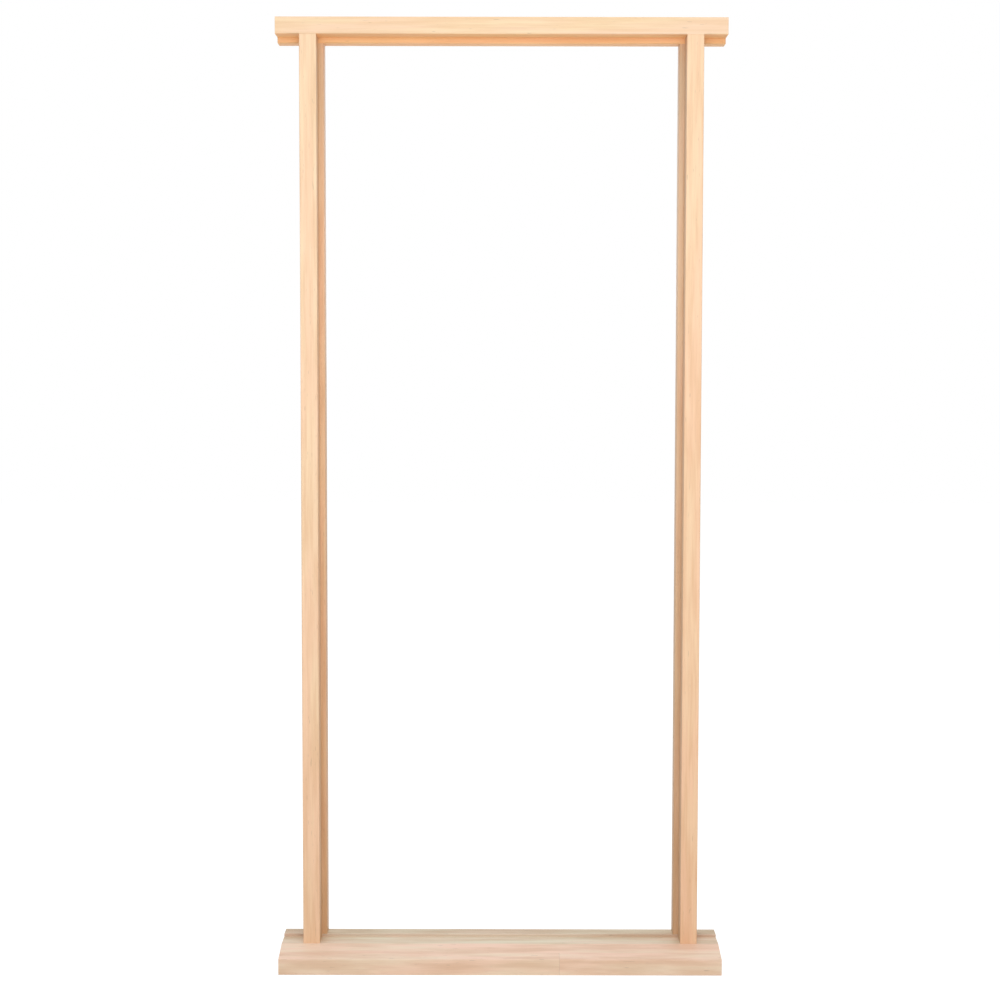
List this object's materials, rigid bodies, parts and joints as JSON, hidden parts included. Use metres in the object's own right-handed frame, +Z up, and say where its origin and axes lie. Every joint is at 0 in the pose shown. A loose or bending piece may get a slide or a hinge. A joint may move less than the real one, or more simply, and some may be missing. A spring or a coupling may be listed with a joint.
{
  "type": "wooden door frame",
  "caption": "Bare timber external door frame: rebated jambs and head with square horns on a projecting weathered sill.",
  "frame": {"origin": "on the ground under the middle of the sill, halfway between its nose and its inside edge", "axes": "+Z up, +X to the right as seen from outside, -Y outwards over the sill's nose, where the leaf opens"},
  "size_m": [1, 0.14, 2.13],
  "materials": {
    "head_timber": "planed, bare",
    "jamb_timber": "planed, bare",
    "sill_timber": "planed, bare",
    "wedge_timber": "sawn, bare"
  },
  "bodies": {
    "root": {"head": "head_timber", "sill": "sill_timber", "left_jamb": "jamb_timber", "right_jamb": "jamb_timber", "head_wedge_left_outer": "wedge_timber", "head_wedge_left_inner": "wedge_timber", "head_wedge_right_inner": "wedge_timber", "head_wedge_right_outer": "wedge_timber", "sill_wedge_left_outer": "wedge_timber", "sill_wedge_left_inner": "wedge_timber", "sill_wedge_right_inner": "wedge_timber", "sill_wedge_right_outer": "wedge_timber"}
  },
  "joints": []
}
